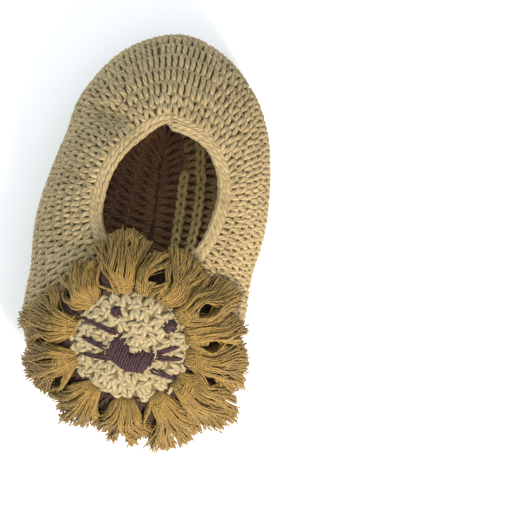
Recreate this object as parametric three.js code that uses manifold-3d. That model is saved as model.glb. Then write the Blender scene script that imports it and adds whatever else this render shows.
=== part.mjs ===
// A crochet baby bootie with a lion's face on its toe.
// Millimetres, +Z up, the toe towards -Y, the origin on the floor under the middle of the foot's length.
// The wall is one hollow shell, lofted through sections that stand around the foot. The sole, the collar's
// edging, the face and the mane's tufts take their places from the same sections.

import * as THREE from "three";
import { mergeVertices } from "three/addons/utils/BufferGeometryUtils.js";
import Module from "manifold-3d";

const wasm = await Module();
wasm.setup();

// Driving dimensions of the foot
const LENGTH = 105; // outside of the wall, heel to toe
const WIDTH = 61; // outside of the wall, at its widest
const OPENING_LENGTH = 40.4; // along the middle of the collar's edging
const OPENING_WIDTH = 32.4;
const OPENING_X = 2; // middle of the opening, from the origin
const OPENING_Y = 7.6;
const COLLAR_HEIGHT = 35; // middle of the edging, at the front of the opening
const BULGE_HEIGHT = 12; // where the wall stands out furthest
const SOLE_TUCK = 4.4; // how far the wall's foot lies inside its widest line

// Thicknesses and gaps
const WALL = 2.6; // one layer of crochet
const SOLE_THICK = 3;
const SOLE_EDGE = 1.2; // rounding of the sole's edge
const SOLE_LIP = 0.5; // the sole's edge stands out this far past the wall
const TOE_HEIGHT = 1.8; // lift of the sole's edge at the toe
const EDGING_THICK = 3.2;
const GAP = 0.3;

// The face, measured flat from above
const FACE_X = -0.7;
const FACE_Y = -30.8;
const FACE_WIDTH = 29.6;
const FACE_HEIGHT = 27.4;
const FACE_THICK = 2.4; // at its middle
const FACE_EDGE = 1.4; // at its edge
const FACE_TURN = 8.5; // degrees clockwise, seen from above
const NOSE_X = 0.7; // middle of the nose to the right of the middle of the face
const NOSE_WIDTH = 12.2;
const NOSE_HEIGHT = 9.4;
const NOSE_DROP = 1.75; // middle of the nose below the middle of the face
const EYE_SIZE = 3.5;
const STITCH_PROUD = 1; // height of the embroidery

// The mane
const MANE_RADIUS = 29; // flat from above, from the middle of the face
const LOCKS = 4; // locks fused into each tuft
const LOCK_THICK = 2.6;
const LOCK_OVERLAP = 1.45; // width of a lock, as a share of the room it has in the fan
const LOCK_TRIM = 0.07; // the outer locks are cut shorter by this share
const KNOT_WIDTH = 4.6; // a tuft's width where it is knotted to the wall
const KNOT_CLEAR = 0.4; // underside of a lock above the wall, at the knot, the neck and the tip
const NECK_CLEAR = 2;
const TIP_CLEAR = 1;
const NECK_AT = 0.35; // place of the neck, as a share of the lock's length
const STEEPEST = 1.15; // a tuft leaves the wall where the wall falls faster than this

// How finely the curved forms are cut
const AROUND = 64;
const UP = 11;
const PROFILE_STEPS = 24;
const EDGING_SIDES = 7;
const FACE_AROUND = 24;
const EYE_AROUND = 10;
const LOCK_SIDES = 6;
const LOCK_STEPS = 4;

// Sections of the wall, clockwise from the heel as seen from above.
// outX, outY: the widest line, as shares of the foot's half width and half length.
// rimX, rimY: the collar, as shares of the opening's half width and half length.
// rimZ: share of COLLAR_HEIGHT. bulge: share of BULGE_HEIGHT. tuck: share of SOLE_TUCK. spring: share of TOE_HEIGHT.
// round: 2 is an elliptic shoulder, less is flatter. lean: degrees of that shoulder that are used.
const SECTIONS = [
  { outX: 0.02, outY: 1, rimX: 0.01, rimY: 1, rimZ: 0.98, bulge: 1.1, tuck: 1, spring: 0.45, round: 2, lean: 78 },
  { outX: 0.42, outY: 0.93, rimX: 0.4, rimY: 0.91, rimZ: 0.98, bulge: 1.1, tuck: 1, spring: 0.3, round: 2, lean: 76 },
  { outX: 0.72, outY: 0.765, rimX: 0.71, rimY: 0.74, rimZ: 0.97, bulge: 1.05, tuck: 1, spring: 0.1, round: 2, lean: 73 },
  { outX: 0.89, outY: 0.575, rimX: 0.92, rimY: 0.47, rimZ: 0.955, bulge: 1, tuck: 1, spring: 0, round: 2, lean: 70 },
  { outX: 0.97, outY: 0.33, rimX: 1, rimY: 0.17, rimZ: 0.94, bulge: 1, tuck: 1.05, spring: 0, round: 2, lean: 68 },
  { outX: 0.985, outY: 0.08, rimX: 0.96, rimY: -0.17, rimZ: 0.94, bulge: 1, tuck: 1.1, spring: 0, round: 2, lean: 69 },
  { outX: 0.92, outY: -0.17, rimX: 0.82, rimY: -0.53, rimZ: 0.95, bulge: 1, tuck: 1, spring: 0, round: 1.95, lean: 74 },
  { outX: 0.905, outY: -0.43, rimX: 0.56, rimY: -0.81, rimZ: 0.97, bulge: 0.96, tuck: 0.9, spring: 0, round: 1.85, lean: 80 },
  { outX: 0.81, outY: -0.69, rimX: 0.35, rimY: -0.92, rimZ: 0.99, bulge: 0.92, tuck: 0.85, spring: 0.3, round: 1.72, lean: 86 },
  { outX: 0.56, outY: -0.905, rimX: 0.14, rimY: -0.98, rimZ: 1, bulge: 0.9, tuck: 0.85, spring: 0.8, round: 1.64, lean: 88 },
  { outX: 0.03, outY: -1, rimX: -0.06, rimY: -1, rimZ: 1, bulge: 0.9, tuck: 0.85, spring: 1, round: 1.6, lean: 89 },
  { outX: -0.5, outY: -0.93, rimX: -0.27, rimY: -0.98, rimZ: 1, bulge: 0.9, tuck: 0.85, spring: 0.8, round: 1.64, lean: 88 },
  { outX: -0.84, outY: -0.76, rimX: -0.47, rimY: -0.92, rimZ: 0.99, bulge: 0.92, tuck: 0.85, spring: 0.3, round: 1.72, lean: 86 },
  { outX: -0.995, outY: -0.53, rimX: -0.68, rimY: -0.81, rimZ: 0.97, bulge: 0.96, tuck: 0.9, spring: 0, round: 1.85, lean: 80 },
  { outX: -0.985, outY: -0.28, rimX: -0.9, rimY: -0.54, rimZ: 0.95, bulge: 1, tuck: 1, spring: 0, round: 1.95, lean: 74 },
  { outX: -1, outY: -0.03, rimX: -1, rimY: -0.26, rimZ: 0.94, bulge: 1, tuck: 1.1, spring: 0, round: 2, lean: 69 },
  { outX: -0.935, outY: 0.205, rimX: -0.97, rimY: 0.06, rimZ: 0.94, bulge: 1, tuck: 1.05, spring: 0, round: 2, lean: 69 },
  { outX: -0.83, outY: 0.44, rimX: -0.84, rimY: 0.4, rimZ: 0.95, bulge: 1, tuck: 1, spring: 0, round: 2, lean: 71 },
  { outX: -0.74, outY: 0.645, rimX: -0.59, rimY: 0.7, rimZ: 0.965, bulge: 1.05, tuck: 1, spring: 0.1, round: 2, lean: 74 },
  { outX: -0.43, outY: 0.885, rimX: -0.31, rimY: 0.9, rimZ: 0.975, bulge: 1.1, tuck: 1, spring: 0.3, round: 2, lean: 77 },
];

// Tufts, clockwise about the face from the heel's side.
// turn: degrees. reach: share of MANE_RADIUS. fan: degrees that the tips take up. bend: degrees that the tips swing
// clockwise. rise: share of the heights above the wall.
const TUFTS = [
  { turn: -13, reach: 1, fan: 22, bend: 1, rise: 1.5 },
  { turn: 8, reach: 0.84, fan: 15, bend: 0, rise: 1.5 },
  { turn: 30, reach: 0.95, fan: 18, bend: -3, rise: 1.3 },
  { turn: 53, reach: 1.03, fan: 19, bend: 1, rise: 1.1 },
  { turn: 73, reach: 0.97, fan: 15, bend: 0, rise: 1 },
  { turn: 94, reach: 1.04, fan: 23, bend: 0, rise: 1 },
  { turn: 118, reach: 1.1, fan: 22, bend: 1, rise: 1 },
  { turn: 144, reach: 0.98, fan: 26, bend: 1, rise: 1 },
  { turn: 177, reach: 0.84, fan: 34, bend: 0, rise: 1 },
  { turn: 214, reach: 0.86, fan: 31, bend: 3, rise: 1 },
  { turn: 250, reach: 0.95, fan: 31, bend: 1, rise: 1 },
  { turn: 281, reach: 0.98, fan: 23, bend: -1, rise: 1 },
  { turn: 311, reach: 0.88, fan: 25, bend: 0, rise: 1.15 },
];

// The nose's outline on the face's own axes, as shares of its half width and half height: a heart, one lobe higher.
const NOSE = [
  { right: -0.04, high: 0.14 },
  { right: 0.4, high: 0.34 },
  { right: 0.84, high: 0.5 },
  { right: 1, high: -0.05 },
  { right: 0.74, high: -0.76 },
  { right: 0.1, high: -1 },
  { right: -0.56, high: -0.68 },
  { right: -1, high: -0.12 },
  { right: -0.6, high: 0.98 },
  { right: -0.28, high: 0.56 },
];

// The eyes on the face's own axes: places as shares of the face's half width and half height, size of EYE_SIZE.
const EYES = [
  { name: "eye_left", right: -0.37, high: 0.54, size: 0.92 },
  { name: "eye_right", right: 0.565, high: 0.535, size: 1.1 },
];

const COLOURS = {
  yarn: 0xb5a06f,
  edging: 0xc4ac78,
  face: 0xd8c795,
  mane: 0xa3823c,
  embroidery: 0x3a2430,
};

const radians = THREE.MathUtils.degToRad;
const mix = THREE.MathUtils.lerp;

// A value of a closed table's column anywhere between its rows, along a uniform Catmull-Rom curve. turn runs from 0 to 1.
function column(name, turn, table = SECTIONS) {
  const n = table.length;
  const place = ((turn % 1) + 1) % 1 * n;
  const i = Math.floor(place);
  const f = place - i;
  const [a, b, c, d] = [-1, 0, 1, 2].map((k) => table[(i + k + n) % n][name]);
  const slopeIn = (c - a) / 2;
  const slopeOut = (d - b) / 2;
  return b + slopeIn * f + (3 * (c - b) - 2 * slopeIn - slopeOut) * f * f
    + (2 * (b - c) + slopeIn + slopeOut) * f * f * f;
}

// The widest line of the wall's middle surface, and the way out from it.
function widest(turn) {
  return new THREE.Vector2(
    column("outX", turn) * (WIDTH - WALL) / 2,
    column("outY", turn) * (LENGTH - WALL) / 2,
  );
}

function outward(turn) {
  const step = 1e-3;
  const way = widest(turn + step).sub(widest(turn - step)).normalize();
  return new THREE.Vector2(-way.y, way.x);
}

// Height of the wall's foot, which follows the sole's spring.
function footHeight(turn) {
  return SOLE_THICK + GAP + TOE_HEIGHT * Math.max(0, column("spring", turn));
}

// One section of the wall's middle surface, from its foot to the collar.
const sections = new Map();

function section(turn) {
  const key = turn.toFixed(6);
  if (!sections.has(key)) sections.set(key, sectionAt(turn));
  return sections.get(key);
}

function sectionAt(turn) {
  const out = widest(turn);
  const away = outward(turn);
  const tuck = SOLE_TUCK * column("tuck", turn);
  const foot = footHeight(turn);
  const bulge = BULGE_HEIGHT * column("bulge", turn);
  const rim = new THREE.Vector3(
    OPENING_X + column("rimX", turn) * OPENING_WIDTH / 2,
    OPENING_Y + column("rimY", turn) * OPENING_LENGTH / 2,
    column("rimZ", turn) * COLLAR_HEIGHT,
  );
  const power = 2 / column("round", turn);
  const lean = radians(column("lean", turn));
  const points = [];
  const lowSteps = Math.round(PROFILE_STEPS / 4);
  for (let i = 0; i < lowSteps; i++) {
    const s = i / lowSteps;
    const inset = tuck * (1 - s) ** 2;
    points.push(new THREE.Vector3(out.x - away.x * inset, out.y - away.y * inset, mix(foot, bulge, s)));
  }
  for (let i = 0; i <= PROFILE_STEPS; i++) {
    const angle = lean * i / PROFILE_STEPS;
    const inside = (1 - Math.cos(angle) ** power) / (1 - Math.cos(lean) ** power);
    const height = (Math.sin(angle) / Math.sin(lean)) ** power;
    points.push(new THREE.Vector3(
      mix(out.x, rim.x, inside),
      mix(out.y, rim.y, inside),
      mix(bulge, rim.z, height),
    ));
  }
  return points;
}

function lengthOf(points) {
  let sum = 0;
  for (let i = 1; i < points.length; i++) sum += points[i].distanceTo(points[i - 1]);
  return sum;
}

// The middle surface: turn runs once around the foot from 0 to 1, up runs from the foot at 0 to the collar at 1.
function middle(turn, up) {
  const points = section(turn);
  let left = up * lengthOf(points);
  for (let i = 1; i < points.length; i++) {
    const piece = points[i].distanceTo(points[i - 1]);
    if (left <= piece || i === points.length - 1) return points[i - 1].clone().lerp(points[i], left / piece);
    left -= piece;
  }
}

function surfaceNormal(turn, up) {
  const step = 2e-3;
  const high = Math.min(1, up + step);
  const low = Math.max(0, up - step);
  const along = middle(turn + step, up).sub(middle(turn - step, up));
  const climb = middle(turn, high).sub(middle(turn, low));
  return climb.cross(along).normalize();
}

// The wall's outer surface, or with a negative offset its inner one.
function skin(turn, up, offset = WALL / 2) {
  return middle(turn, up).addScaledVector(surfaceNormal(turn, up), offset);
}

// Joins rings of points into one closed surface. wrap joins the last ring to the first, and otherwise both ends
// are closed to the middle of their ring.
function loft(rings, wrap = false) {
  const count = rings[0].length;
  const points = rings.flat();
  const faces = [];
  const last = wrap ? rings.length : rings.length - 1;
  for (let i = 0; i < last; i++) {
    const next = (i + 1) % rings.length;
    for (let j = 0; j < count; j++) {
      const k = (j + 1) % count;
      const [a, b, c, d] = [i * count + j, i * count + k, next * count + k, next * count + j];
      faces.push(a, b, c, a, c, d);
    }
  }
  if (!wrap) {
    for (const [ring, flip] of [[0, true], [rings.length - 1, false]]) {
      const centre = rings[ring].reduce((sum, p) => sum.add(p), new THREE.Vector3()).divideScalar(count);
      points.push(centre);
      for (let j = 0; j < count; j++) {
        const a = ring * count + j;
        const b = ring * count + (j + 1) % count;
        faces.push(points.length - 1, ...(flip ? [b, a] : [a, b]));
      }
    }
  }
  return facingOut(new THREE.BufferGeometry().setFromPoints(points).setIndex(faces));
}

// Turns a closed geometry's faces round if they point in.
function facingOut(geometry) {
  const p = geometry.getAttribute("position");
  const index = geometry.index.array;
  const corner = (i) => new THREE.Vector3().fromBufferAttribute(p, index[i]);
  let volume = 0;
  for (let i = 0; i < index.length; i += 3) volume += corner(i).dot(corner(i + 1).cross(corner(i + 2)));
  if (volume < 0) {
    for (let i = 0; i < index.length; i += 3) [index[i + 1], index[i + 2]] = [index[i + 2], index[i + 1]];
  }
  geometry.computeVertexNormals();
  return geometry;
}

function toSolid(geometry) {
  const bare = new THREE.BufferGeometry()
    .setAttribute("position", geometry.getAttribute("position"))
    .setIndex(geometry.index);
  const merged = mergeVertices(bare, 1e-4);
  return new wasm.Manifold(new wasm.Mesh({
    numProp: 3,
    vertProperties: merged.attributes.position.array,
    triVerts: new Uint32Array(merged.index.array),
  }));
}

function fromSolid(solid) {
  const mesh = solid.getMesh();
  const geometry = new THREE.BufferGeometry()
    .setAttribute("position", new THREE.BufferAttribute(mesh.vertProperties, 3))
    .setIndex(new THREE.BufferAttribute(mesh.triVerts, 1));
  geometry.computeVertexNormals();
  return geometry;
}

// How far up the wall goes, which leaves room for the edging.
function wallTop(turn) {
  return 1 - (EDGING_THICK / 2 + GAP) / lengthOf(section(turn));
}

// The wall: each section is a closed loop, up the outside and down the inside.
function upperGeometry() {
  const loops = [];
  for (let i = 0; i < AROUND; i++) {
    const turn = i / AROUND;
    const top = wallTop(turn);
    const side = (offset) => Array.from({ length: UP + 1 }, (_, k) => {
      const point = skin(turn, top * k / UP, offset);
      if (k === 0) point.z = footHeight(turn);
      return point;
    });
    loops.push([...side(WALL / 2), ...side(-WALL / 2).reverse()]);
  }
  return loft(loops, true);
}

// The edging: a round cord that sits on the wall's top edge.
function edgingGeometry() {
  const rings = [];
  for (let i = 0; i < AROUND; i++) {
    const turn = i / AROUND;
    const centre = middle(turn, 1);
    const out = surfaceNormal(turn, 1);
    const along = middle(turn + 1e-3, 1).sub(middle(turn - 1e-3, 1)).normalize();
    const across = along.clone().cross(out).normalize();
    rings.push(Array.from({ length: EDGING_SIDES }, (_, k) => {
      const angle = 2 * Math.PI * k / EDGING_SIDES;
      return centre.clone()
        .addScaledVector(out, Math.cos(angle) * EDGING_THICK / 2)
        .addScaledVector(across, Math.sin(angle) * EDGING_THICK / 2);
    }));
  }
  return loft(rings, true);
}

// The sole: flat below and above, with a rounded edge that springs up at the toe.
function soleGeometry() {
  const flat = 0.72; // share of the sole that lies on the floor
  const ring = (share, inset, height) => Array.from({ length: AROUND }, (_, i) => {
    const turn = i / AROUND;
    const reach = WALL / 2 + SOLE_LIP - SOLE_TUCK * column("tuck", turn) - inset;
    const edge = widest(turn).addScaledVector(outward(turn), reach).multiplyScalar(share);
    const lift = Math.max(0, (share - flat) / (1 - flat)) ** 2 * Math.max(0, column("spring", turn));
    return new THREE.Vector3(edge.x, edge.y, height + TOE_HEIGHT * lift);
  });
  return loft([
    ring(flat, 0, 0),
    ring(0.86, 0, 0),
    ring(1, SOLE_EDGE, 0),
    ring(1, SOLE_EDGE * 0.3, SOLE_EDGE * 0.7),
    ring(1, 0, SOLE_THICK * 0.6),
    ring(1, SOLE_LIP * 0.6, SOLE_THICK),
    ring(0.86, 0, SOLE_THICK),
    ring(flat, 0, SOLE_THICK),
  ]);
}

// What the face and the mane lie on: the wall's outer surface, with the collar closed over by a lid.
function drapeMesh() {
  const rings = Array.from({ length: UP }, (_, k) => (
    Array.from({ length: AROUND }, (_, i) => skin(i / AROUND, wallTop(i / AROUND) * (k + 1) / UP))));
  rings.push(Array.from({ length: AROUND }, (_, i) => skin(i / AROUND, 1, EDGING_THICK / 2)));
  return new THREE.Mesh(loft(rings), new THREE.MeshBasicMaterial({ side: THREE.DoubleSide }));
}

// Heights of that surface along rays from the middle of the face. Where it falls away a ray runs on straight.
const RAYS = 90;
const RAY_STEPS = 36;
const RAY_STEP = 1.2 * MANE_RADIUS / RAY_STEPS;
const drape = drapeMesh();
const rays = Array.from({ length: RAYS }, (_, i) => ray(2 * Math.PI * i / RAYS));

function ray(bearing) {
  const heights = [];
  const caster = new THREE.Raycaster();
  const down = new THREE.Vector3(0, 0, -1);
  let falling = false;
  for (let k = 0; k <= RAY_STEPS; k++) {
    const x = FACE_X + Math.sin(bearing) * k * RAY_STEP;
    const y = FACE_Y + Math.cos(bearing) * k * RAY_STEP;
    const from = new THREE.Vector3(x, y, 2 * COLLAR_HEIGHT);
    caster.set(from, down);
    const hit = falling ? undefined : caster.intersectObject(drape)[0];
    const last = heights[heights.length - 1];
    falling = !hit || last - hit.point.z > STEEPEST * RAY_STEP;
    heights.push(falling ? last - STEEPEST * RAY_STEP : hit.point.z);
  }
  return heights;
}

function over(degrees, r) {
  const at = ((degrees / 360) % 1 + 1) % 1 * RAYS;
  const i = Math.floor(at);
  const n = Math.min(Math.floor(r / RAY_STEP), rays[0].length - 2);
  const along = (heights) => mix(heights[n], heights[n + 1], r / RAY_STEP - n);
  const way = radians(degrees);
  return new THREE.Vector3(
    FACE_X + Math.sin(way) * r,
    FACE_Y + Math.cos(way) * r,
    mix(along(rays[i]), along(rays[(i + 1) % RAYS]), at - i),
  );
}

// A point at some height above the wall, placed by its bearing and distance from the middle of the face.
function above(degrees, r, height) {
  const along = over(degrees, r + RAY_STEP).sub(over(degrees, Math.max(0, r - RAY_STEP)));
  const across = over(degrees + 4, r + RAY_STEP).sub(over(degrees - 4, r + RAY_STEP));
  const up = across.cross(along).normalize();
  if (up.z < 0) up.negate();
  return over(degrees, r).addScaledVector(up, height);
}

// A point above the face, given on the face's own tilted axes.
function onFace(right, high, height) {
  const turn = radians(FACE_TURN);
  const x = right * Math.cos(turn) + high * Math.sin(turn);
  const y = high * Math.cos(turn) - right * Math.sin(turn);
  return above(THREE.MathUtils.radToDeg(Math.atan2(x, y)), Math.hypot(x, y), height);
}

// How far out on the face a point lies, from 0 at its middle to 1 at its edge, and the face's thickness there.
const outOnFace = (right, high) => Math.hypot(right / (FACE_WIDTH / 2), high / (FACE_HEIGHT / 2));
const faceThick = (right, high) => mix(FACE_THICK, FACE_EDGE, outOnFace(right, high) ** 2);

function pointsOn(outline, share, height) {
  return outline.map(([right, high]) => onFace(right * share, high * share, height(right * share, high * share)));
}

function ellipse(width, height, count) {
  return Array.from({ length: count }, (_, i) => {
    const a = 2 * Math.PI * i / count;
    return [Math.cos(a) * width / 2, Math.sin(a) * height / 2];
  });
}

// The face: a low dome with an upright edge.
function faceGeometry() {
  const outline = ellipse(FACE_WIDTH, FACE_HEIGHT, FACE_AROUND);
  const low = () => GAP;
  const high = (right, up) => GAP + faceThick(right, up);
  return loft([
    pointsOn(outline, 0.35, low), pointsOn(outline, 0.7, low), pointsOn(outline, 0.97, low),
    pointsOn(outline, 1, () => GAP + FACE_EDGE / 2),
    pointsOn(outline, 0.95, high), pointsOn(outline, 0.7, high), pointsOn(outline, 0.35, high),
  ]);
}

// A raised patch of embroidery on the face, round at its edge.
function patchGeometry(outline, centreRight, centreHigh) {
  const ring = (share, proud) => outline.map(([right, high]) => {
    const [x, y] = [centreRight + right * share, centreHigh + high * share];
    return onFace(x, y, 2 * GAP + faceThick(x, y) + proud * STITCH_PROUD);
  });
  return loft([ring(0.5, 0), ring(0.95, 0), ring(1, 0.4), ring(0.88, 0.8), ring(0.5, 1)]);
}

const noseOutline = Array.from({ length: 2 * NOSE.length }, (_, i) => [
  column("right", i / (2 * NOSE.length), NOSE) * NOSE_WIDTH / 2,
  column("high", i / (2 * NOSE.length), NOSE) * NOSE_HEIGHT / 2,
]);

// Distance from the middle of the face to its edge along a bearing.
function faceEdge(degrees) {
  const a = radians(degrees - FACE_TURN);
  return 1 / Math.hypot(Math.sin(a) / (FACE_WIDTH / 2), Math.cos(a) / (FACE_HEIGHT / 2));
}

// One lock of a tuft, cut blunt at both ends. It leaves the knot, rises over the neck and fans out. place runs from
// -1 to 1 across the tuft.
function lock(tuft, place) {
  const start = faceEdge(tuft.turn) + 2 * GAP;
  const end = MANE_RADIUS * tuft.reach * (1 - LOCK_TRIM * place * place);
  const knot = THREE.MathUtils.radToDeg(KNOT_WIDTH / start);
  const spread = (s) => mix(knot, tuft.fan, s);
  const across = 1 - LOCK_OVERLAP / LOCKS;
  const distance = (s) => mix(start, end, s);
  const centreAt = (s) => {
    const clear = s < NECK_AT
      ? mix(KNOT_CLEAR, NECK_CLEAR, s / NECK_AT)
      : mix(NECK_CLEAR, TIP_CLEAR, (s - NECK_AT) / (1 - NECK_AT));
    const swing = place * across * spread(s) / 2 + tuft.bend * s * s;
    return above(tuft.turn + swing, distance(s), clear * tuft.rise + LOCK_THICK / 2);
  };
  const rings = [];
  for (let i = 0; i <= LOCK_STEPS; i++) {
    const s = i / LOCK_STEPS;
    const centre = centreAt(s);
    const along = centreAt(Math.min(1, s + 0.05)).sub(centreAt(Math.max(0, s - 0.05))).normalize();
    const side = along.clone().cross(new THREE.Vector3(0, 0, 1)).normalize();
    const up = side.clone().cross(along).normalize();
    const width = radians(spread(s)) * distance(s) * LOCK_OVERLAP / LOCKS;
    rings.push(Array.from({ length: LOCK_SIDES }, (_, k) => {
      const a = 2 * Math.PI * (k + 0.5) / LOCK_SIDES;
      return centre.clone()
        .addScaledVector(side, Math.cos(a) * width / 2)
        .addScaledVector(up, Math.sin(a) * LOCK_THICK / 2);
    }));
  }
  return loft(rings);
}

function tuftGeometry(tuft) {
  const locks = Array.from({ length: LOCKS }, (_, k) => toSolid(lock(tuft, 2 * k / (LOCKS - 1) - 1)));
  return fromSolid(locks.reduce((fused, one) => fused.add(one)));
}

function mesh(name, geometry, colour) {
  const material = new THREE.MeshStandardMaterial({ color: colour, roughness: 0.92, metalness: 0 });
  const made = new THREE.Mesh(geometry, material);
  made.name = name;
  return made;
}

const bootie = new THREE.Group();
bootie.name = "crochet_baby_bootie";
bootie.add(mesh("sole", soleGeometry(), COLOURS.yarn));
bootie.add(mesh("upper", upperGeometry(), COLOURS.yarn));
bootie.add(mesh("collar_edging", edgingGeometry(), COLOURS.edging));
bootie.add(mesh("lion_face", faceGeometry(), COLOURS.face));
bootie.add(mesh("nose", patchGeometry(noseOutline, NOSE_X, -NOSE_DROP), COLOURS.embroidery));
for (const eye of EYES) {
  const outline = ellipse(EYE_SIZE * eye.size, EYE_SIZE * eye.size, EYE_AROUND);
  const knot = patchGeometry(outline, eye.right * FACE_WIDTH / 2, eye.high * FACE_HEIGHT / 2);
  bootie.add(mesh(eye.name, knot, COLOURS.embroidery));
}
TUFTS.forEach((tuft, i) => {
  bootie.add(mesh(`mane_tuft_${String(i + 1).padStart(2, "0")}`, tuftGeometry(tuft), COLOURS.mane));
});

export default bootie;
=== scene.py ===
import math

import bpy
import numpy as np
from mathutils import Matrix, Vector
from mathutils.bvhtree import BVHTree


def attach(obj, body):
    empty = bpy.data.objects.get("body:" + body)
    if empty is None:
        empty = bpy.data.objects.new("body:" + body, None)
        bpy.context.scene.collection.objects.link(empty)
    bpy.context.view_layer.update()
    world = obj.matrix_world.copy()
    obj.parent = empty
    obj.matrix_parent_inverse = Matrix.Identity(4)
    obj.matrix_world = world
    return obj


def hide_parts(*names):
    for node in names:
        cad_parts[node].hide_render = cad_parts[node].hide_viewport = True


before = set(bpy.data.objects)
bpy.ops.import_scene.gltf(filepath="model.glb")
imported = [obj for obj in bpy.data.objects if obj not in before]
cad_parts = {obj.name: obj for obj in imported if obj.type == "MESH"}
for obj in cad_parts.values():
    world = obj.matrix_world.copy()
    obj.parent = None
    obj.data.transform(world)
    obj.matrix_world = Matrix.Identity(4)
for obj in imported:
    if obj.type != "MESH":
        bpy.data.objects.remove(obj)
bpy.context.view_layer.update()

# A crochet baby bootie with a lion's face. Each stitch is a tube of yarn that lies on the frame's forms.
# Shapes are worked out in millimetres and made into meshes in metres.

MM = 0.001
rng = np.random.default_rng(11)

# Driving dimensions, the same as the solids'
LENGTH = 105
WIDTH = 61
OPENING_LENGTH = 40.4
OPENING_WIDTH = 32.4
OPENING_X = 2
OPENING_Y = 7.6
COLLAR_HEIGHT = 35
BULGE_HEIGHT = 12
SOLE_TUCK = 4.4
WALL = 2.6
SOLE_THICK = 3
SOLE_LIP = 0.5
TOE_HEIGHT = 1.8
EDGING_THICK = 3.2
GAP = 0.3
FACE_X = -0.7
FACE_Y = -30.8
FACE_WIDTH = 29.6
FACE_HEIGHT = 27.4
FACE_THICK = 2.4
FACE_EDGE = 1.4
FACE_TURN = 8.5
NOSE_X = 0.7
NOSE_WIDTH = 12.2
NOSE_HEIGHT = 9.4
NOSE_DROP = 1.75
EYE_SIZE = 3.5
MANE_RADIUS = 29
LOCK_THICK = 2.6
KNOT_WIDTH = 4.6
KNOT_CLEAR = 0.4
NECK_CLEAR = 2
TIP_CLEAR = 1
NECK_AT = 0.35
STEEPEST = 1.15

# Yarn
YARN = 0.74  # radius of the body's yarn
STITCH = 3.05  # width of a stitch
ROUNDS = 12  # rounds of stitches up the wall

# Sections of the wall, clockwise from the heel: the same table as the solids'.
SECTION_COLUMNS = ["out_x", "out_y", "rim_x", "rim_y", "rim_z", "bulge", "tuck", "spring", "round", "lean"]
SECTIONS = np.array([
    [0.02, 1, 0.01, 1, 0.98, 1.1, 1, 0.45, 2, 78],
    [0.42, 0.93, 0.4, 0.91, 0.98, 1.1, 1, 0.3, 2, 76],
    [0.72, 0.765, 0.71, 0.74, 0.97, 1.05, 1, 0.1, 2, 73],
    [0.89, 0.575, 0.92, 0.47, 0.955, 1, 1, 0, 2, 70],
    [0.97, 0.33, 1, 0.17, 0.94, 1, 1.05, 0, 2, 68],
    [0.985, 0.08, 0.96, -0.17, 0.94, 1, 1.1, 0, 2, 69],
    [0.92, -0.17, 0.82, -0.53, 0.95, 1, 1, 0, 1.95, 74],
    [0.905, -0.43, 0.56, -0.81, 0.97, 0.96, 0.9, 0, 1.85, 80],
    [0.81, -0.69, 0.35, -0.92, 0.99, 0.92, 0.85, 0.3, 1.72, 86],
    [0.56, -0.905, 0.14, -0.98, 1, 0.9, 0.85, 0.8, 1.64, 88],
    [0.03, -1, -0.06, -1, 1, 0.9, 0.85, 1, 1.6, 89],
    [-0.5, -0.93, -0.27, -0.98, 1, 0.9, 0.85, 0.8, 1.64, 88],
    [-0.84, -0.76, -0.47, -0.92, 0.99, 0.92, 0.85, 0.3, 1.72, 86],
    [-0.995, -0.53, -0.68, -0.81, 0.97, 0.96, 0.9, 0, 1.85, 80],
    [-0.985, -0.28, -0.9, -0.54, 0.95, 1, 1, 0, 1.95, 74],
    [-1, -0.03, -1, -0.26, 0.94, 1, 1.1, 0, 2, 69],
    [-0.935, 0.205, -0.97, 0.06, 0.94, 1, 1.05, 0, 2, 69],
    [-0.83, 0.44, -0.84, 0.4, 0.95, 1, 1, 0, 2, 71],
    [-0.74, 0.645, -0.59, 0.7, 0.965, 1.05, 1, 0.1, 2, 74],
    [-0.43, 0.885, -0.31, 0.9, 0.975, 1.1, 1, 0.3, 2, 77],
])

# Tufts of the mane, clockwise about the face from the heel's side. The solids' table has no sweep, which
# swings the strands aside towards their tips, and its last row has a reach of 0.88.
TUFT_COLUMNS = ["turn", "reach", "fan", "bend", "rise", "sweep"]
TUFTS = [dict(zip(TUFT_COLUMNS, row)) for row in [
    (-13, 1, 22, 1, 1.5, 0),
    (8, 0.84, 15, 0, 1.5, 5),
    (30, 0.95, 18, -3, 1.3, 0),
    (53, 1.03, 19, 1, 1.1, 0),
    (73, 0.97, 15, 0, 1, 0),
    (94, 1.04, 23, 0, 1, 0),
    (118, 1.1, 22, 1, 1, 0),
    (144, 0.98, 26, 1, 1, 0),
    (177, 0.84, 34, 0, 1, 0),
    (214, 0.86, 31, 3, 1, 0),
    (250, 0.95, 31, 1, 1, 0),
    (281, 0.98, 23, -1, 1, -2),
    (311, 0.83, 25, 0, 1.15, 8),
]]


def unit(v):
    return v / np.maximum(np.linalg.norm(v, axis=-1, keepdims=True), 1e-9)


def mix(a, b, f):
    return a + (b - a) * f


def curve_between(a, b, c, d, f):
    """The point at share f of the way from b to c, on a Catmull-Rom curve through a, b, c and d."""
    slope_in, slope_out = (c - a) / 2, (d - b) / 2
    return (b + slope_in * f + (3 * (c - b) - 2 * slope_in - slope_out) * f**2
            + (2 * (b - c) + slope_in + slope_out) * f**3)


# The wall's middle surface

BESIDE = 1e-3  # the part of a turn to each side that a direction is measured over


def column(name, turn):
    """A column of SECTIONS at any turn, on a smooth closed curve."""
    values = SECTIONS[:, SECTION_COLUMNS.index(name)]
    n = len(values)
    place = np.mod(turn, 1) * n
    i = np.floor(place).astype(int)
    return curve_between(*(values[(i + k) % n] for k in (-1, 0, 1, 2)), place - i)


def widest(turn):
    """The wall's widest line, seen from above."""
    x = column("out_x", turn) * (WIDTH - WALL) / 2
    y = column("out_y", turn) * (LENGTH - WALL) / 2
    return np.stack([x, y], -1)


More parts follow.
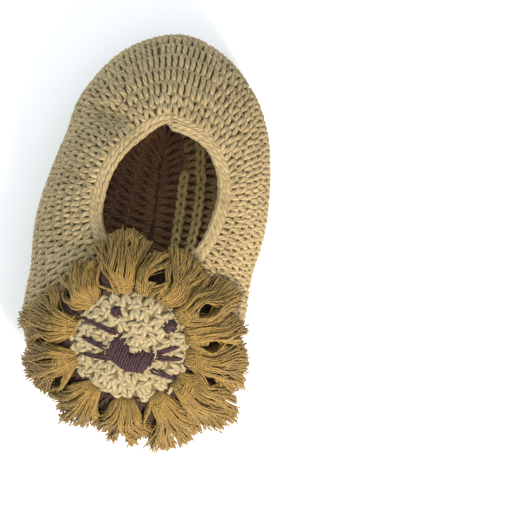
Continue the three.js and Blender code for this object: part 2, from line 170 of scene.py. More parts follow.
def outward(turn):
    way = unit(widest(turn + BESIDE) - widest(turn - BESIDE))
    return np.stack([-way[..., 1], way[..., 0]], -1)


PROFILE_STEPS = 48
FOOT_STEPS = 12


def profiles(turn):
    """The sections at these turns, from the wall's foot to the collar."""
    out, away = widest(turn), outward(turn)
    foot = SOLE_THICK + GAP + TOE_HEIGHT * np.maximum(0, column("spring", turn))
    bulge = BULGE_HEIGHT * column("bulge", turn)
    tuck = SOLE_TUCK * column("tuck", turn)
    rim_x = OPENING_X + column("rim_x", turn) * OPENING_WIDTH / 2
    rim_y = OPENING_Y + column("rim_y", turn) * OPENING_LENGTH / 2
    rim_z = COLLAR_HEIGHT * column("rim_z", turn)
    power = (2 / column("round", turn))[:, None]
    lean = np.radians(column("lean", turn))[:, None]
    s = np.arange(FOOT_STEPS)[None] / FOOT_STEPS
    inset = tuck[:, None] * (1 - s) ** 2
    low = np.stack([out[:, :1] - away[:, :1] * inset, out[:, 1:] - away[:, 1:] * inset,
                    mix(foot[:, None], bulge[:, None], s)], -1)
    angle = lean * np.arange(PROFILE_STEPS + 1)[None] / PROFILE_STEPS
    inside = (1 - np.cos(angle) ** power) / (1 - np.cos(lean) ** power)
    height = (np.sin(angle) / np.sin(lean)) ** power
    high = np.stack([mix(out[:, :1], rim_x[:, None], inside), mix(out[:, 1:], rim_y[:, None], inside),
                     mix(bulge[:, None], rim_z[:, None], height)], -1)
    return np.concatenate([low, high], 1)


TURN_STEPS = 480
UP_STEPS = 120


def wall_grid():
    """Points, normals and lengths of the wall's middle surface on an even grid of turn and up."""
    raw = profiles(np.arange(TURN_STEPS) / TURN_STEPS)
    steps = np.linalg.norm(np.diff(raw, axis=1), axis=2)
    along = np.concatenate([np.zeros((TURN_STEPS, 1)), np.cumsum(steps, 1)], 1)
    even = np.linspace(0, 1, UP_STEPS + 1)
    points = np.stack([
        np.stack([np.interp(even * along[t, -1], along[t], raw[t, :, axis]) for axis in range(3)], -1)
        for t in range(TURN_STEPS)
    ])
    return points, grid_normals(points), along[:, -1]


def grid_normals(points):
    around = np.roll(points, -1, 0) - np.roll(points, 1, 0)
    climb = np.gradient(points, axis=1)
    return unit(np.cross(climb, around))


wall_points, wall_normals, wall_lengths = wall_grid()

# A soft crease in the heel's left wall: it runs from the collar out to the widest line.
CREASE = {"turn": 0.915, "slant": -0.03, "span": 0.4, "up": 0.75, "wide": 0.024, "long": 0.2, "deep": 3.9}
crease_turn = np.arange(TURN_STEPS)[:, None] / TURN_STEPS
crease_up = np.linspace(0, 1, UP_STEPS + 1)[None]
crease_line = CREASE["turn"] + CREASE["slant"] * (1 - crease_up) / CREASE["span"]
crease = CREASE["deep"] * np.exp(-((crease_turn - crease_line) / CREASE["wide"]) ** 2
                                 - ((crease_up - CREASE["up"]) / CREASE["long"]) ** 2)
wall_points -= wall_normals * crease[..., None]
wall_normals = grid_normals(wall_points)


def on_wall(turn, up, out=0.0):
    """Points that lie out from the wall's middle surface."""
    turn, up, out = np.broadcast_arrays(turn, up, out)
    x = np.mod(turn, 1) * TURN_STEPS
    y = np.clip(up, 0, 1) * UP_STEPS
    i, j = np.floor(x).astype(int) % TURN_STEPS, np.minimum(np.floor(y).astype(int), UP_STEPS - 1)
    f, g = (x - np.floor(x))[..., None], (y - j)[..., None]
    i1 = (i + 1) % TURN_STEPS

    def sample(grid):
        return mix(mix(grid[i, j], grid[i1, j], f), mix(grid[i, j + 1], grid[i1, j + 1], f), g)

    return sample(wall_points) + unit(sample(wall_normals)) * out[..., None]


def wall_length(turn):
    turns = np.arange(TURN_STEPS + 1) / TURN_STEPS
    return np.interp(np.mod(turn, 1), turns, np.append(wall_lengths, wall_lengths[0]))


# Rounds lie at one distance from the foot and from the collar, and those between take up what is left.
EASE_FROM = 0.3
EASE_SPAN = 0.55
shortest = wall_lengths.min()


def level_to_up(turn, level):
    full = wall_length(turn)
    room = full - EDGING_THICK / 2
    least = shortest - EDGING_THICK / 2
    ease = np.clip((level - EASE_FROM) / EASE_SPAN, 0, 1)
    ease = ease * ease * (3 - 2 * ease)
    return (level * least + (room - least) * ease) / full


# The toe as the face and the mane lie on it, by bearing and distance from the middle of the face

CORE_TURNS = 240
CORE_ROWS = 40
CORE_TOP = 0.985  # how far up the wall reaches before the collar's edging
RAYS = 180
RAY_STEPS = 72
RAY_STEP = 1.2 * MANE_RADIUS / RAY_STEPS
DOWN = Vector((0, 0, -1))


def lidded_wall():
    """The wall's outside, with a lid over the collar."""
    ups = np.linspace(0.1, 1, CORE_ROWS)
    turns = np.arange(CORE_TURNS) / CORE_TURNS
    offsets = np.where(ups > CORE_TOP, EDGING_THICK / 2, WALL / 2)
    rings = on_wall(turns[None], ups[:, None], offsets[:, None])
    vertices = [Vector(p) for p in rings.reshape(-1, 3)] + [Vector(rings[-1].mean(0))]
    rim, lid = (CORE_ROWS - 1) * CORE_TURNS, len(vertices) - 1
    faces = []
    for row in range(0, rim, CORE_TURNS):
        for i in range(CORE_TURNS):
            n = (i + 1) % CORE_TURNS
            faces.append((row + i, row + n, row + CORE_TURNS + n, row + CORE_TURNS + i))
    faces += [(rim + i, rim + (i + 1) % CORE_TURNS, lid) for i in range(CORE_TURNS)]
    return BVHTree.FromPolygons(vertices, faces)


def ray_heights():
    """Heights of the wall along rays from the face's middle. Where it falls away a ray runs on straight."""
    wall = lidded_wall()
    heights = np.zeros((RAYS, RAY_STEPS + 1))
    for i in range(RAYS):
        bearing = 2 * math.pi * i / RAYS
        falling = False
        for k in range(RAY_STEPS + 1):
            x = FACE_X + math.sin(bearing) * k * RAY_STEP
            y = FACE_Y + math.cos(bearing) * k * RAY_STEP
            hit = None if falling else wall.ray_cast(Vector((x, y, 2 * COLLAR_HEIGHT)), DOWN)[0]
            last = heights[i, k - 1]
            falling = hit is None or (k > 0 and last - hit.z > STEEPEST * RAY_STEP)
            heights[i, k] = last - STEEPEST * RAY_STEP if falling else hit.z
    return heights


toe_heights = ray_heights()


def over(degrees, r):
    degrees, r = np.broadcast_arrays(degrees, r)
    at = np.mod(degrees / 360, 1) * RAYS
    i = np.floor(at).astype(int) % RAYS
    n = np.clip(np.floor(r / RAY_STEP).astype(int), 0, RAY_STEPS - 1)
    f, g = at - np.floor(at), r / RAY_STEP - n
    z = mix(mix(toe_heights[i, n], toe_heights[i, n + 1], g),
            mix(toe_heights[(i + 1) % RAYS, n], toe_heights[(i + 1) % RAYS, n + 1], g), f)
    way = np.radians(degrees)
    return np.stack([FACE_X + np.sin(way) * r, FACE_Y + np.cos(way) * r, z], -1)


# The distance to each side that the toe's slope is measured over
NEAR = 1
NEAR_DEGREES = 4


def above(degrees, r, height):
    """Points at some height above the toe."""
    degrees, r, height = np.broadcast_arrays(degrees, r, height)
    along = over(degrees, r + NEAR) - over(degrees, np.maximum(0, r - NEAR))
    across = over(degrees + NEAR_DEGREES, r + NEAR) - over(degrees - NEAR_DEGREES, r + NEAR)
    up = unit(np.cross(across, along))
    up = np.where(up[..., 2:] < 0, -up, up)
    return over(degrees, r) + up * height[..., None]


def on_face(right, high, height):
    """Points above the toe, given on the face's own tilted axes."""
    turn = math.radians(FACE_TURN)
    x = right * math.cos(turn) + high * math.sin(turn)
    y = high * math.cos(turn) - right * math.sin(turn)
    return above(np.degrees(np.arctan2(x, y)), np.hypot(x, y), height)


def face_top(right, high):
    share = np.hypot(right / (FACE_WIDTH / 2), high / (FACE_HEIGHT / 2))
    return GAP + mix(FACE_THICK, FACE_EDGE, np.minimum(share, 1) ** 2)


# Meshes

FIRST_SIDE = np.array([0.3, 0.2, 1.0])  # the side of a tube that its rings start from
YARN_LENGTH = 50  # each tube starts somewhere in this length of yarn
DRAWN_IN = 0.98  # how far the ends of a pile of rings are drawn to their middle


def tube_faces(n, m, sides):
    """Faces of n tubes with m rings each: those along the tubes, then the caps at their ends."""
    i = np.arange(n)[:, None, None]
    k = np.arange(m - 1)[None, :, None]
    j = np.arange(sides)[None, None, :]
    j1 = (j + 1) % sides
    ring = (i * m + k) * sides
    quads = np.stack([ring + j, ring + j1, ring + sides + j1, ring + sides + j], -1).reshape(-1, 4)
    caps = []
    for end, flip in ((0, True), (m - 1, False)):
        start = (np.arange(n) * m + end) * sides
        for c in range(1, sides - 2, 2):
            corners = [0, c, c + 1, c + 2]
            caps.append(start[:, None] + np.array(corners[::-1] if flip else corners)[None])
    return quads, np.concatenate(caps)


def tube_uv(paths, sides):
    """Texture coordinates of the faces along the tubes: length of yarn and share of the way round."""
    n, m, _ = paths.shape
    steps = np.linalg.norm(np.diff(paths, axis=1), axis=2)
    length = np.concatenate([np.zeros((n, 1)), np.cumsum(steps, 1)], 1) + rng.uniform(0, YARN_LENGTH, (n, 1))
    low, high = length[:, :-1], length[:, 1:]
    j = np.arange(sides)
    u = np.broadcast_to(np.stack([low, low, high, high], -1)[:, :, None], (n, m - 1, sides, 4))
    v = np.broadcast_to(np.stack([j, j + 1, j + 1, j], -1) / sides, (n, m - 1, sides, 4))
    return np.stack([u, v], -1).reshape(-1, 4, 2)


def tubes(paths, radius, sides=6):
    """Tubes of yarn along many paths at once: paths is (tubes, points, 3). radius is one number, one for each
    tube, or one for each point."""
    n, m, _ = paths.shape
    radius = np.asarray(radius, float)
    if radius.ndim == 1:
        radius = radius[:, None]
    radius = np.broadcast_to(radius, (n, m))
    tangent = unit(np.gradient(paths, axis=1))
    side = np.zeros_like(paths)
    way = np.broadcast_to(FIRST_SIDE, (n, 3))
    for k in range(m):
        t = tangent[:, k]
        way = unit(way - (way * t).sum(-1, keepdims=True) * t)
        side[:, k] = way
    other = np.cross(tangent, side)
    angle = (2 * np.pi * np.arange(sides) / sides)[:, None]
    ring = side[:, :, None] * np.cos(angle) + other[:, :, None] * np.sin(angle)
    vertices = paths[:, :, None] + ring * radius[:, :, None, None]
    quads, caps = tube_faces(n, m, sides)
    uv = np.concatenate([tube_uv(paths, sides), np.zeros((len(caps), 4, 2))])
    return vertices.reshape(-1, 3), np.concatenate([quads, caps]), uv


def shell(outer, inner):
    """A closed wall between two grids of points (around, up, 3) that close on themselves around."""
    n, m, _ = outer.shape
    loop = np.concatenate([outer, inner[:, ::-1]], 1)
    i = np.arange(n)[:, None]
    j = np.arange(2 * m)[None]
    i1, j1 = (i + 1) % n, (j + 1) % (2 * m)
    quads = np.stack([i * 2 * m + j, i1 * 2 * m + j, i1 * 2 * m + j1, i * 2 * m + j1], -1).reshape(-1, 4)
    return loop.reshape(-1, 3), quads, np.zeros((len(quads), 4, 2))


def pile(rings):
    """A form through rings of points, (rings, around, 3), with its ends drawn together."""
    first, last = (mix(end, end.mean(1, keepdims=True), DRAWN_IN) for end in (rings[:1], rings[-1:]))
    rings = np.concatenate([first, rings, last])
    m, n, _ = rings.shape
    k = np.arange(m - 1)[:, None]
    j = np.arange(n)[None]
    j1 = (j + 1) % n
    quads = np.stack([k * n + j, k * n + j1, (k + 1) * n + j1, (k + 1) * n + j], -1).reshape(-1, 4)
    return rings.reshape(-1, 3), quads, np.zeros((len(quads), 4, 2))


def piece(name, parts, material, slot, *nodes):
    """One object of several sets of vertices, faces and texture coordinates. Yarn lies flat on the floor."""
    vertices, faces, uvs, offset = [], [], [], 0
    for v, f, uv in parts:
        vertices.append(np.maximum(v, [-np.inf, -np.inf, 0]))
        faces.append(f + offset)
        uvs.append(uv)
        offset += len(v)
    mesh = bpy.data.meshes.new(name)
    mesh.from_pydata(np.concatenate(vertices) * MM, [], np.concatenate(faces).tolist())
    layer = mesh.uv_layers.new(name="yarn")
    layer.data.foreach_set("uv", np.concatenate(uvs).reshape(-1).astype(np.float32))
    mesh.polygons.foreach_set("use_smooth", np.ones(len(mesh.polygons), bool))
    mesh.materials.append(material)
    mesh.update()
    made = bpy.data.objects.new(name, mesh)
    bpy.context.scene.collection.objects.link(made)
    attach(made, "root")
    if nodes:
        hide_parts(*nodes)


# Stitches: each strand is a list of (across, up, out) with across and up in stitches and out in millimetres.

def strand(*points):
    return np.array(points, float)


def smooth_strand(points, count):
    """More points along a strand, on a smooth curve."""
    padded = np.concatenate([[2 * points[0] - points[1]], points, [2 * points[-1] - points[-2]]])
    s = np.linspace(0, len(points) - 1, count)
    i = np.minimum(s.astype(int), len(points) - 2)
    return curve_between(*(padded[i + k] for k in range(4)), (s - i)[:, None])


def chain_stitch(rows, yarn):
    """A chain stitch: two strands that part and meet again. rows holds (across, parting, out)."""
    across, parting, out = np.array(rows, float).T
    return [(np.stack([across, 0.5 + parting * side, out], -1), yarn) for side in (-1, 1)]


LINE_POINTS = 721
FEWEST = 4  # stitches in a round
# How unevenly stitches lie: shares of a round's looseness, and the spread of the yarn's radius
LIFT = 0.8
WOBBLE = 0.5
WOBBLE_ALONG = 0.5
WOBBLE_UP = 0.6
PLUMPNESS = 0.05


def lay_rounds(locate, edges, width, strands, sides=6, points=7, loose=0.05, keep=None):
    """Stitches in rounds between the levels in edges. locate(turn, level, out) gives points on the surface,
    and keep(turn, level) says which stitches are laid."""
    parts = []
    turn = np.linspace(0, 1, LINE_POINTS)
    for low, high in zip(edges[:-1], edges[1:]):
        middle = (low + high) / 2
        line = locate(turn, np.full_like(turn, middle), np.zeros_like(turn))
        steps = np.linalg.norm(np.diff(line, axis=0), axis=1)
        along = np.concatenate([[0], np.cumsum(steps)])
        count = max(FEWEST, round(along[-1] / width))
        phase = rng.uniform()
        shift = rng.normal(0, loose, (count, 1))
        lift = rng.normal(0, loose * LIFT, (count, 1))
        plump = rng.normal(1, PLUMPNESS, count)
        for shape, radius in strands:
            s = smooth_strand(shape, points)
            across = np.arange(count)[:, None] + phase + s[None, :, 0] + shift
            wobble = rng.normal(0, loose * WOBBLE, (count, points))
            share = (across + wobble * WOBBLE_ALONG) / count
            whole = np.floor(share)
            at = whole + np.interp((share - whole) * along[-1], along, turn)
            level = low + (high - low) * (s[None, :, 1] + lift + wobble * WOBBLE_UP)
            paths = locate(at, level, s[None, :, 2] + wobble)
            kept = np.full(count, True) if keep is None else keep(at[:, points // 2], middle)
            if kept.any():
                parts.append(tubes(paths[kept], (radius * plump)[kept], sides))
    return parts


def v_stitch(out, yarn=YARN, sign=1):
    """A single crochet stitch: two plump legs that open upwards, and the strand along its top."""
    right = strand((0.56, -0.12, out - 0.9 * sign), (0.62, 0.13, out), (0.72, 0.44, out + 0.22 * sign),
                   (0.8, 0.76, out + 0.05 * sign), (0.84, 1.05, out - 0.95 * sign))
    left = right * [-1, 1, 1] + [1, 0, 0]
    top = strand((-0.2, 0.9, out - 0.75 * sign), (0.1, 0.98, out - 0.3 * sign), (0.5, 1.03, out - 0.2 * sign),
                 (0.9, 0.98, out - 0.3 * sign), (1.2, 0.9, out - 0.75 * sign))
    return [(left, yarn), (right, yarn), (top, yarn * 0.7)]


def rib_stitch(out, yarn=YARN):
    """A taller stitch at the heel: its legs stand side by side as ribs."""
    legs = []
    for side in (-1, 1):
        at = 0.5 + 0.25 * side
        leg = strand((at - 0.05, -0.1, out - 0.7), (at, 0.15, out + 0.1), (at + 0.02, 0.5, out + 0.2),
                     (at, 0.82, out + 0.1), (at + 0.05, 1.05, out - 0.8))
        legs.append((leg, yarn * 0.92))
    top = strand((-0.2, 0.92, out - 0.5), (0.15, 1.0, out - 0.1), (0.5, 1.05, out), (0.85, 1.0, out - 0.1),
                 (1.2, 0.92, out - 0.5))
    return [*legs, (top, yarn * 0.62)]


def grain_stitch(out, yarn):
    """A plump, uneven stitch of the face: three short rounded loops."""
    one = strand((0.05, 0.02, out - 0.7), (0.2, 0.3, out + 0.15), (0.38, 0.62, out + 0.2),
                 (0.52, 0.98, out - 0.7))
    two = strand((0.95, 0.0, out - 0.7), (0.8, 0.28, out + 0.1), (0.66, 0.6, out + 0.15),
                 (0.5, 0.95, out - 0.7))
    top = strand((-0.12, 0.86, out - 0.6), (0.2, 0.98, out + 0.25), (0.62, 1.0, out + 0.25),
                 (0.98, 0.88, out - 0.7))
    return [(one, yarn), (two, yarn * 0.95), (top, yarn * 0.85)]


def post_stitch(out, yarn=YARN, slant=0.5, sign=1):
    """A double crochet post: two strands that cross, leaning, and the strand along its top."""
    b = np.linspace(-0.05, 1.02, 7)
    turn = np.pi * b
    one = np.stack([0.5 + 0.24 * np.cos(turn) + slant * b, b, out + 0.38 * np.sin(turn) * sign], -1)
    two = np.stack([0.5 - 0.24 * np.cos(turn) + slant * b, b, out - 0.38 * np.sin(turn) * sign], -1)
    top = strand((-0.2, 0.97, out), (0.15, 1.02, out + 0.3 * sign), (0.5, 1.04, out + 0.36 * sign),
                 (0.85, 1.02, out + 0.3 * sign), (1.2, 0.97, out)) + [slant, 0, 0]
    return [(one, yarn), (two, yarn), (top, yarn * 0.8)]


# Materials

SPECULAR = 0.25
SHEEN_ROUGHNESS = 0.5
# Noise scales: fibres and the colour's drift over the object, and one strand's tone along its yarn
FIBRE = {"Scale": 2600.0, "Detail": 3.0, "Roughness": 0.6}
DRIFT = {"Scale": 140.0, "Detail": 2.0}
STRAND_TONE = {"Scale": 0.35, "Detail": 1.0}
FUZZ = 0.5
BUMP = {"Strength": 0.55, "Distance": 0.00025}
TONE_PLY = 0.3
TONE_FIBRE = 0.3
TONE_DRIFT = 0.35
TONE_STRAND = 0.35
RAMP_ENDS = (0.3, 0.95)  # tones of the darkest and the lightest yarn


def add_node(tree, kind, **settings):
    """A new shader node. A setting is the value of an input by that name, or else one of the node's own."""
    made = tree.nodes.new(kind)
    for key, value in settings.items():
        if key in made.inputs:
            made.inputs[key].default_value = value
        else:
            setattr(made, key, value)
    return made


def calculated(tree, operation, *values):
    """The outcome of a calculation with numbers and with the outcomes of other nodes."""
    made = add_node(tree, "ShaderNodeMath", operation=operation)
    for socket, value in zip(made.inputs, values):
        if isinstance(value, (int, float)):
            socket.default_value = value
        else:
            tree.links.new(value, socket)
    return made.outputs[0]


def noise(tree, source, vector, **settings):
    """The strength of a noise at a place, which goes into the input named by vector."""
    made = add_node(tree, "ShaderNodeTexNoise", **settings)
    tree.links.new(source, made.inputs[vector])
    return made.outputs["Fac"]


def wound_plies(tree, along, around, plies, twist):
    """Light and dark of the plies that wind round the tube."""
    turns = calculated(tree, "ADD", calculated(tree, "MULTIPLY", around, plies),
                       calculated(tree, "MULTIPLY", along, twist))
    wave = calculated(tree, "SINE", calculated(tree, "MULTIPLY", turns, 2 * math.pi))
    return calculated(tree, "ADD", calculated(tree, "MULTIPLY", wave, 0.5), 0.5)


def yarn_material(name, dark, light, plies=3, twist=0.55, sheen=0.06, roughness=0.88):
    """Plied yarn: strands that wind round the tube, fine fibres, and a colour that drifts."""
    made = bpy.data.materials.new(name)
    made.use_nodes = True
    tree = made.node_tree
    shader = tree.nodes["Principled BSDF"]
    shader.inputs["Roughness"].default_value = roughness
    shader.inputs["Specular IOR Level"].default_value = SPECULAR
    shader.inputs["Sheen Weight"].default_value = sheen
    shader.inputs["Sheen Roughness"].default_value = SHEEN_ROUGHNESS

    uv = add_node(tree, "ShaderNodeUVMap", uv_map="yarn")
    split = add_node(tree, "ShaderNodeSeparateXYZ")
    tree.links.new(uv.outputs[0], split.inputs[0])
    along, around = split.outputs[0], split.outputs[1]
    place = add_node(tree, "ShaderNodeTexCoord").outputs["Object"]
    ply = wound_plies(tree, along, around, plies, twist)
    fibre = noise(tree, place, "Vector", **FIBRE)
    drift = noise(tree, place, "Vector", **DRIFT)
    strand_tone = noise(tree, along, "W", noise_dimensions="1D", **STRAND_TONE)

    height = calculated(tree, "ADD", ply, calculated(tree, "MULTIPLY", fibre, FUZZ))
    bump = add_node(tree, "ShaderNodeBump", **BUMP)
    tree.links.new(height, bump.inputs["Height"])
    tree.links.new(bump.outputs[0], shader.inputs["Normal"])

    tone = calculated(tree, "MULTIPLY", ply, TONE_PLY)
    for part, share in ((fibre, TONE_FIBRE), (drift, TONE_DRIFT), (strand_tone, TONE_STRAND)):
        tone = calculated(tree, "ADD", tone, calculated(tree, "MULTIPLY", part, share))
    ramp = add_node(tree, "ShaderNodeValToRGB")
    ends = zip(ramp.color_ramp.elements, RAMP_ENDS, (dark, light))
    for element, position, colour in ends:
        element.position = position
        element.color = (*colour, 1)
    tree.links.new(tone, ramp.inputs[0])
    tree.links.new(ramp.outputs[0], shader.inputs["Base Color"])
    return made


BODY = yarn_material("sand_yarn", (0.16, 0.115, 0.048), (0.42, 0.335, 0.18))
# The cores under the stitches are much darker than their yarn: painted shade that shows through the gaps as
# shadowed depth
BODY_CORE_PAINTED_SHADE = yarn_material("sand_yarn_painted_shade", (0.045, 0.028, 0.012), (0.10, 0.07, 0.03))
# The inside's yarn is the body's yarn painted redder: painted shade with warm light reflected inside the
# bootie
INSIDE_PAINTED_SHADE = yarn_material("sand_yarn_inside", (0.19, 0.095, 0.048), (0.44, 0.255, 0.135))
# The sole's core is darker still: painted shade that shows through the gaps between the sole's stitches
INSIDE_CORE_PAINTED_SHADE = yarn_material("sand_yarn_inside_core_painted_shade", (0.09, 0.05, 0.025), (0.19, 0.115, 0.055))
INSIDE_LIT = yarn_material("sand_yarn_inside_lit", (0.28, 0.18, 0.07), (0.66, 0.46, 0.21))
# The ridge yarn is far lighter than the body's yarn: painted light on the sole's rounds on the lit right of
# the inside
RIDGE_PAINTED_LIGHT = yarn_material("sand_yarn_ridge_painted_light", (0.58, 0.42, 0.15), (0.98, 0.78, 0.36))
RIM = yarn_material("sand_yarn_rim", (0.19, 0.137, 0.062), (0.43, 0.335, 0.18))
FACE = yarn_material("cream_yarn", (0.145, 0.122, 0.06), (0.41, 0.335, 0.20))
# The face's core is darker than the cream yarn: painted shade in the holes between the face's stitches
FACE_CORE_PAINTED_SHADE = yarn_material("cream_yarn_painted_shade", (0.07, 0.055, 0.022), (0.17, 0.13, 0.06))
MANE = yarn_material("mane_yarn", (0.045, 0.028, 0.006), (0.375, 0.24, 0.06),
                     plies=2, twist=0.5, roughness=0.7)
# The under strands are near black: painted shade that fills the gaps between the tufts
MANE_PAINTED_SHADE = yarn_material("mustard_yarn_painted_shade", (0.016, 0.008, 0.006), (0.062, 0.034, 0.020), plies=2)
DARK = yarn_material("plum_thread", (0.016, 0.006, 0.009), (0.052, 0.022, 0.030),
                     plies=2, sheen=0.03, roughness=0.6)


# The upper

CORE_HALF = 0.55  # half the thickness of the wall's core
SUNK = 0.6  # how far the yarn's middle lies below the wall's outside
SUNK_INSIDE = 0.65
FIRST_ROUND = 0.01
HEEL_RIBS = {"from": 0.95, "to": 0.05, "low": 0.5, "high": 0.84}
RIBS_OVERLAP = 0.005


def on_rounds(turn, level, out):
    return on_wall(turn, level_to_up(turn, level), out)


def in_ribs(turn, level, margin=RIBS_OVERLAP):
    share = np.mod(turn, 1)
    beside = (share > HEEL_RIBS["from"] - margin) | (share < HEEL_RIBS["to"] + margin)
    return beside & (HEEL_RIBS["low"] < level < HEEL_RIBS["high"])


def out_of_ribs(turn, level):
    return ~in_ribs(turn, level, 0)


def build_upper():
    around = np.arange(CORE_TURNS)[:, None] / CORE_TURNS
    up = np.linspace(0, CORE_TOP, CORE_ROWS)[None]
    core = shell(on_wall(around, up, CORE_HALF), on_wall(around, up, -CORE_HALF))
    # The wall's core is darkened as painted shade in the holes between stitches
    piece("upper_core", [core], BODY_CORE_PAINTED_SHADE, "body_yarn", "upper")
    edges = np.linspace(FIRST_ROUND, 1, ROUNDS + 1)
    outside = v_stitch(WALL / 2 - SUNK)
    half = ROUNDS // 2
    low = lay_rounds(on_rounds, edges[:half + 1], STITCH, outside, keep=out_of_ribs)
    high = lay_rounds(on_rounds, edges[half:], STITCH, outside, keep=out_of_ribs)
    ribs = lay_rounds(on_rounds, edges, STITCH, rib_stitch(WALL / 2 - SUNK), keep=in_ribs)
    piece("upper_low_rounds", low, BODY, "body_yarn", "upper")
    piece("upper_high_rounds", high, BODY, "body_yarn", "upper")
    piece("upper_heel_ribs", ribs, BODY, "body_yarn", "upper")
    inside = v_stitch(-(WALL / 2 - SUNK_INSIDE), sign=-1)
    inside_rounds = lay_rounds(on_rounds, edges, STITCH, inside, sides=4, points=5)
    # The inside rounds take the redder yarn: painted shade with warm reflected light
    piece("upper_inside_rounds", inside_rounds, INSIDE_PAINTED_SHADE, "body_yarn", "upper")


# The sole, worked in rounds about a chain along its middle

CHAIN_SHARE = 0.52  # the chain's length as a share of the sole's
TOE_LIFT_FROM = 0.72  # the share of the way out from which the toe lifts
TOE_LIFT_SPAN = 0.28
SOLE_TURNS = 160
SOLE_FORM = [(0.05, -0.7), (0.6, -0.7), (0.93, -0.7), (0.975, 0), (0.93, 0.7), (0.6, 0.7), (0.05, 0.7)]
SOLE_EDGES = [0.03, 0.27, 0.45, 0.63, 0.8, 0.95]
SOLE_RIM = {"level": 0.985, "span": 0.8, "out": 0.1}
POSTS_SUNK = 0.65
POSTS_WIDTH = 2.15
UNDER_SUNK = 0.92
UNDER_WIDTH = 2.2
RIDGES = [{"level": 0.27, "from": 0.17}, {"level": 0.45, "from": 0.12}]
RIDGE_HALF = 0.05
RIDGE_STITCH = 2.4
RIDGE_YARN = 0.62
RIDGE_SUNK = 0.05
RIDGE_ROWS = [(-0.35, 0, 0.1), (0.05, 0.22, 0.75), (0.45, 0.36, 0.95), (0.8, 0.22, 0.75), (1.15, 0, 0.1)]
EDGE_STITCH = 2.9  # width of the stitches along the sole's edge and the collar


def on_sole(turn, level, out):
    """Points of the sole: level runs from the middle chain to the edge, and out is the height."""
    turn, level, out = np.broadcast_arrays(turn, level, out)
    reach = WALL / 2 + SOLE_LIP - SOLE_TUCK * column("tuck", turn)
    edge = widest(turn) + outward(turn) * reach[..., None]
    chain = np.stack([np.zeros_like(turn), edge[..., 1] * CHAIN_SHARE], -1)
    flat = mix(chain, edge, level[..., None])
    share = np.linalg.norm(flat, axis=-1) / np.linalg.norm(edge, axis=-1)
    past = np.maximum(0, (share - TOE_LIFT_FROM) / TOE_LIFT_SPAN)
    lift = past ** 2 * np.maximum(0, column("spring", turn)) * TOE_HEIGHT
    return np.concatenate([flat, (SOLE_THICK / 2 + lift + out)[..., None]], -1)


def on_sole_edge(turn, level, out):
    """The sole's edge: level runs from below to above."""
    base = on_sole(turn, SOLE_RIM["level"], (level - 0.5) * SOLE_THICK * SOLE_RIM["span"])
    way = outward(turn)
    aside = way * np.broadcast_to(out, way.shape[:-1])[..., None]
    return base + np.concatenate([aside, np.zeros_like(aside[..., :1])], -1)


def lit_side(turn, level):
    """The right of the inside, beyond the first round, where the light falls."""
    return (np.mod(turn, 1) < 0.5) & (level > SOLE_EDGES[1])


def dark_side(turn, level):
    return ~lit_side(turn, level)


def build_sole():
    around = np.arange(SOLE_TURNS) / SOLE_TURNS
    rings = np.stack([on_sole(around, level, height) for level, height in SOLE_FORM])
    # The sole's core is darkened as painted shade in the holes between stitches
    piece("sole_core", [pile(rings)], INSIDE_CORE_PAINTED_SHADE, "body_yarn", "sole")
    half = SOLE_THICK / 2
    inside = post_stitch(half - POSTS_SUNK, yarn=0.72, slant=0.75)
    # Painted light and shade on the sole's inside: a lighter copy of the yarn on the right where light falls,
    # the redder shaded copy elsewhere
    sides = (("sole_inside", dark_side, INSIDE_PAINTED_SHADE), ("sole_inside_right", lit_side, INSIDE_LIT))
    for name, keep, material in sides:
        posts = lay_rounds(on_sole, SOLE_EDGES, POSTS_WIDTH, inside, sides=5, points=6, keep=keep)
        piece(name, posts, material, "body_yarn", "sole")
    # The ridges lie only on the right of the inside and take the lightest yarn: painted light
    chain = chain_stitch(np.array(RIDGE_ROWS) + [0, 0, half - RIDGE_SUNK], RIDGE_YARN)
    ridges = []
    for ridge in RIDGES:
        edges = [ridge["level"] - RIDGE_HALF, ridge["level"] + RIDGE_HALF]
        ridges += lay_rounds(on_sole, edges, RIDGE_STITCH, chain, points=8,
                             keep=lambda turn, level, start=ridge["from"]: (start < turn) & (turn < 0.5))
    piece("sole_ridges", ridges, RIDGE_PAINTED_LIGHT, "body_yarn", "sole")
    under = post_stitch(-(half - UNDER_SUNK), yarn=0.66, slant=0.4, sign=-1)
    under_posts = lay_rounds(on_sole, SOLE_EDGES, UNDER_WIDTH, under, sides=4, points=6)
    piece("sole_under", under_posts, BODY, "body_yarn", "sole")
    rim = lay_rounds(on_sole_edge, [0, 1], EDGE_STITCH, v_stitch(SOLE_RIM["out"]))
    piece("sole_edge", rim, BODY, "body_yarn", "sole")


# The collar's edging

NOTCH = 1.0  # the step at the edging's ends
NOTCH_LONG = 0.05
EDGING_POINTS = 181
EDGING_CORE = {"across": -0.1, "out": -0.1, "radius": 0.95}
EDGING_BACK = {"up": 0.975, "out": 0.1, "radius": 1.05}
SLIP_ROLL = {
    "across": 0.6, "rise": 0.42, "wide": 1.6, "inward": 0.3, "lean": 0.1, "yarn": 0.52,
    "rows": [(-0.3, 0, 0.2), (0.1, 0.22, 0.9), (0.5, 0.34, 1.0), (0.85, 0.26, 0.95), (1.15, 0, 0.1)],
}
RIM_CHAIN = {
    "wide": 1.2, "down": 0.62, "rise": 0.72, "yarn": 0.34,
    "rows": [(-0.2, 0, 0.6), (0.15, 0.25, 1.0), (0.5, 0.36, 1.1), (0.85, 0.22, 0.95), (1.1, 0, 0.5)],
}
EDGING_LOOSE = 0.03


